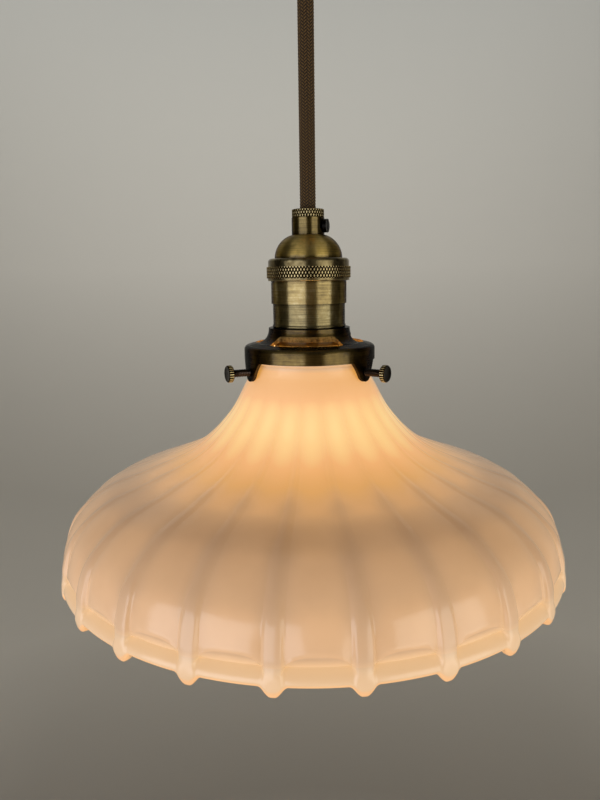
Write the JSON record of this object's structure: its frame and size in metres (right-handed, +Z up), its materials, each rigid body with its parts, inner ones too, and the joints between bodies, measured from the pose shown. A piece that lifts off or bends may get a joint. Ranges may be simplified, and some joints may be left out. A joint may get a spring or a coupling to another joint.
{
  "type": "pendant ceiling light",
  "caption": "Pendant light with a ribbed opal glass shade in a brass screw holder, a keyless brass socket with bulb, and a braided cord hung from a ceiling canopy.",
  "frame": {"origin": "centre of the mounting bar's upper face, on the ceiling plane", "axes": "+Z up along the cord, the pictured front faces -Y, +X to the right of the picture"},
  "size_m": [0.235, 0.235, 0.3061],
  "materials": {
    "antique_brass": "antiqued brass, brushed round, with darkened recesses",
    "blackened_steel": "blackened steel screw",
    "zinc_plated_steel": "zinc-plated steel",
    "green_enamel": "green enamelled screw",
    "braided_cloth": "dark brown braided cloth with lighter threads",
    "black_wire": "black wire insulation",
    "white_wire": "white wire insulation",
    "connector_plastic": "moulded orange plastic",
    "plain_brass": "plain rolled brass",
    "vulcanised_fibre": "grey vulcanised fibre",
    "porcelain": "white glazed porcelain",
    "opal_glass": "moulded opal glass, fire polished",
    "bulb_glass": "frosted bulb glass",
    "bulb_metal": "nickel-plated bulb cap",
    "black_glass": "black glass insulator",
    "filament": "yellow phosphor coating"
  },
  "bodies": {
    "ceiling": {"canopy_cover": "antique_brass", "mounting_bar": "zinc_plated_steel", "canopy_studs": "zinc_plated_steel", "canopy_cap_nuts": "antique_brass", "ground_screw": "green_enamel", "ceiling_grip": "antique_brass", "ceiling_grip_nut": "zinc_plated_steel", "ceiling_grip_screw": "blackened_steel", "cord_tail": "braided_cloth", "ceiling_live_wire": "black_wire", "ceiling_neutral_wire": "white_wire", "wire_connectors": "connector_plastic"},
    "cord_bend": {"cord_neck": "braided_cloth"},
    "hanging_cord": {"cord": "braided_cloth"},
    "lamp": {"cord_grip_cap": "antique_brass", "cord_grip_barrel": "antique_brass", "cord_grip_screw": "blackened_steel", "cord_grip_nut": "zinc_plated_steel", "socket_cap": "antique_brass", "socket_ring": "antique_brass", "upper_shell": "antique_brass", "lower_shell": "antique_brass", "insulating_liner": "vulcanised_fibre", "socket_base": "porcelain", "screw_shell": "plain_brass", "centre_contact": "plain_brass", "live_terminal_screw": "plain_brass", "neutral_terminal_screw": "zinc_plated_steel", "socket_live_wire": "black_wire", "socket_neutral_wire": "white_wire", "shade_holder": "antique_brass", "glass_shade": "opal_glass"},
    "bulb_base": {"bulb_cap": "bulb_metal", "bulb_insulator": "black_glass", "bulb_contact": "bulb_metal"},
    "bulb_glass": {"bulb_envelope": "bulb_glass", "bulb_stem": "bulb_glass", "bulb_filaments": "filament"},
    "thumb_screw_1_shank": {"thumb_screw_1_shank": "antique_brass"},
    "thumb_screw_1_head": {"thumb_screw_1_head": "antique_brass"},
    "thumb_screw_2_shank": {"thumb_screw_2_shank": "antique_brass"},
    "thumb_screw_2_head": {"thumb_screw_2_head": "antique_brass"},
    "thumb_screw_3_shank": {"thumb_screw_3_shank": "antique_brass"},
    "thumb_screw_3_head": {"thumb_screw_3_head": "antique_brass"}
  },
  "joints": [
    {"name": "swing_front", "type": "hinge", "parent": "ceiling", "child": "cord_bend", "pos_m": [0, 0, -0.041], "axis": [1, 0, 0], "range_deg": [-25, 25]},
    {"name": "swing_side", "type": "hinge", "parent": "cord_bend", "child": "hanging_cord", "pos_m": [0, 0, -0.041], "axis": [0, 1, 0], "range_deg": [-25, 25]},
    {"name": "cord_twist", "type": "hinge", "parent": "hanging_cord", "child": "lamp", "pos_m": [0, 0, -0.14], "axis": [0, 0, 1], "range_deg": [-90, 90], "stiffness_Nm_per_rad": 0.01},
    {"name": "bulb_travel", "type": "slide", "parent": "lamp", "child": "bulb_base", "axis": [0, 0, -1], "range_m": [0, 0.016]},
    {"name": "bulb_turn", "type": "hinge", "parent": "bulb_base", "child": "bulb_glass", "pos_m": [0, 0, -0.25], "axis": [0, 0, -1], "range_deg": [0, 1590]},
    {"name": "thumb_screw_1_travel", "type": "slide", "parent": "lamp", "child": "thumb_screw_1_shank", "axis": [0.8192, -0.5736, 0], "range_m": [0, 0.005]},
    {"name": "thumb_screw_1_turn", "type": "hinge", "parent": "thumb_screw_1_shank", "child": "thumb_screw_1_head", "pos_m": [0.0317, -0.0222, -0.2123], "axis": [0.8192, -0.5736, 0], "range_deg": [0, 2268]},
    {"name": "thumb_screw_2_travel", "type": "slide", "parent": "lamp", "child": "thumb_screw_2_shank", "axis": [0.0872, 0.9962, 0], "range_m": [0, 0.005]},
    {"name": "thumb_screw_2_turn", "type": "hinge", "parent": "thumb_screw_2_shank", "child": "thumb_screw_2_head", "pos_m": [0.00337, 0.03855, -0.2123], "axis": [0.0872, 0.9962, 0], "range_deg": [0, 2268]},
    {"name": "thumb_screw_3_travel", "type": "slide", "parent": "lamp", "child": "thumb_screw_3_shank", "axis": [-0.9063, -0.4226, 0], "range_m": [0, 0.005]},
    {"name": "thumb_screw_3_turn", "type": "hinge", "parent": "thumb_screw_3_shank", "child": "thumb_screw_3_head", "pos_m": [-0.03507, -0.01636, -0.2123], "axis": [-0.9063, -0.4226, 0], "range_deg": [0, 2268]}
  ],
  "couplings": [
    {"joint": "bulb_turn", "follows": "bulb_travel", "rad_per_m": 1730.9},
    {"joint": "thumb_screw_1_turn", "follows": "thumb_screw_1_travel", "rad_per_m": 7915.8},
    {"joint": "thumb_screw_2_turn", "follows": "thumb_screw_2_travel", "rad_per_m": 7915.8},
    {"joint": "thumb_screw_3_turn", "follows": "thumb_screw_3_travel", "rad_per_m": 7915.8}
  ]
}
